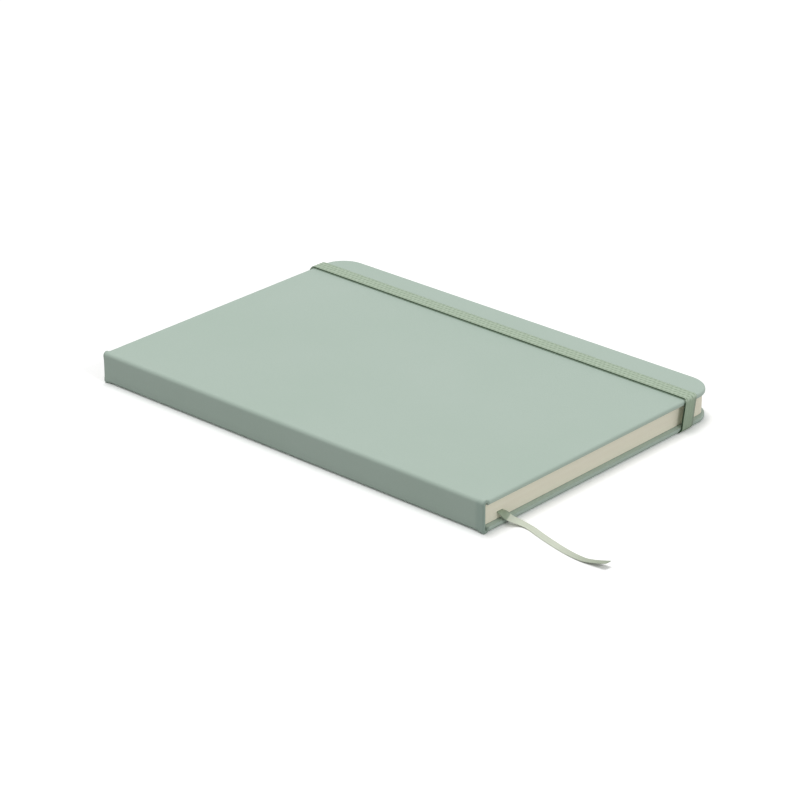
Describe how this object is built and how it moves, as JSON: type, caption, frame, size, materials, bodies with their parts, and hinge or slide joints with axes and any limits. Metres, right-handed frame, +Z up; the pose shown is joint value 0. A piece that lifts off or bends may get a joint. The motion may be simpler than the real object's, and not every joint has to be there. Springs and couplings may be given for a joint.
{
  "type": "notebook",
  "caption": "Hardcover notebook with a faux leather case, rounded fore corners, ribbon bookmark and elastic closure band.",
  "frame": {"origin": "middle of the notebook's footprint, on the surface that it lies on", "axes": "+X from the spine to the fore edge, +Y from the tail to the head, +Z up through the covers"},
  "size_m": [0.146, 0.2633, 0.0144],
  "materials": {
    "skin": "satin grained PU faux leather, sage green",
    "board": "matt grey binding board",
    "endpaper": "matt cream paper",
    "leaves": "matt cream paper, seen as cut leaf edges",
    "lining": "matt pale paper and gauze",
    "ribbon": "woven satin ribbon, pale green",
    "elastic": "ribbed woven elastic, sage green"
  },
  "bodies": {
    "leaves": {"page_block": "leaves", "front_flyleaf": "endpaper", "back_flyleaf": "endpaper", "spine_lining": "lining", "spine_strip": "board", "spine_skin": "skin", "bookmark_ribbon": "ribbon"},
    "front_cover": {"front_board": "board", "front_cover_skin": "skin", "front_pastedown": "endpaper"},
    "back_cover": {"back_board": "board", "back_cover_skin": "skin", "back_pastedown": "endpaper", "elastic_band": "elastic"}
  },
  "joints": [
    {"name": "front_cover_hinge", "type": "hinge", "parent": "leaves", "child": "front_cover", "pos_m": [-0.0716, 0, 0.0114], "axis": [0, -1, 0], "range_deg": [0, 180], "deforming": ["spine_skin", "elastic_band"]},
    {"name": "back_cover_hinge", "type": "hinge", "parent": "leaves", "child": "back_cover", "pos_m": [-0.0716, 0, 0.0021], "axis": [0, 1, 0], "range_deg": [0, 180], "deforming": ["spine_skin", "elastic_band"]}
  ]
}
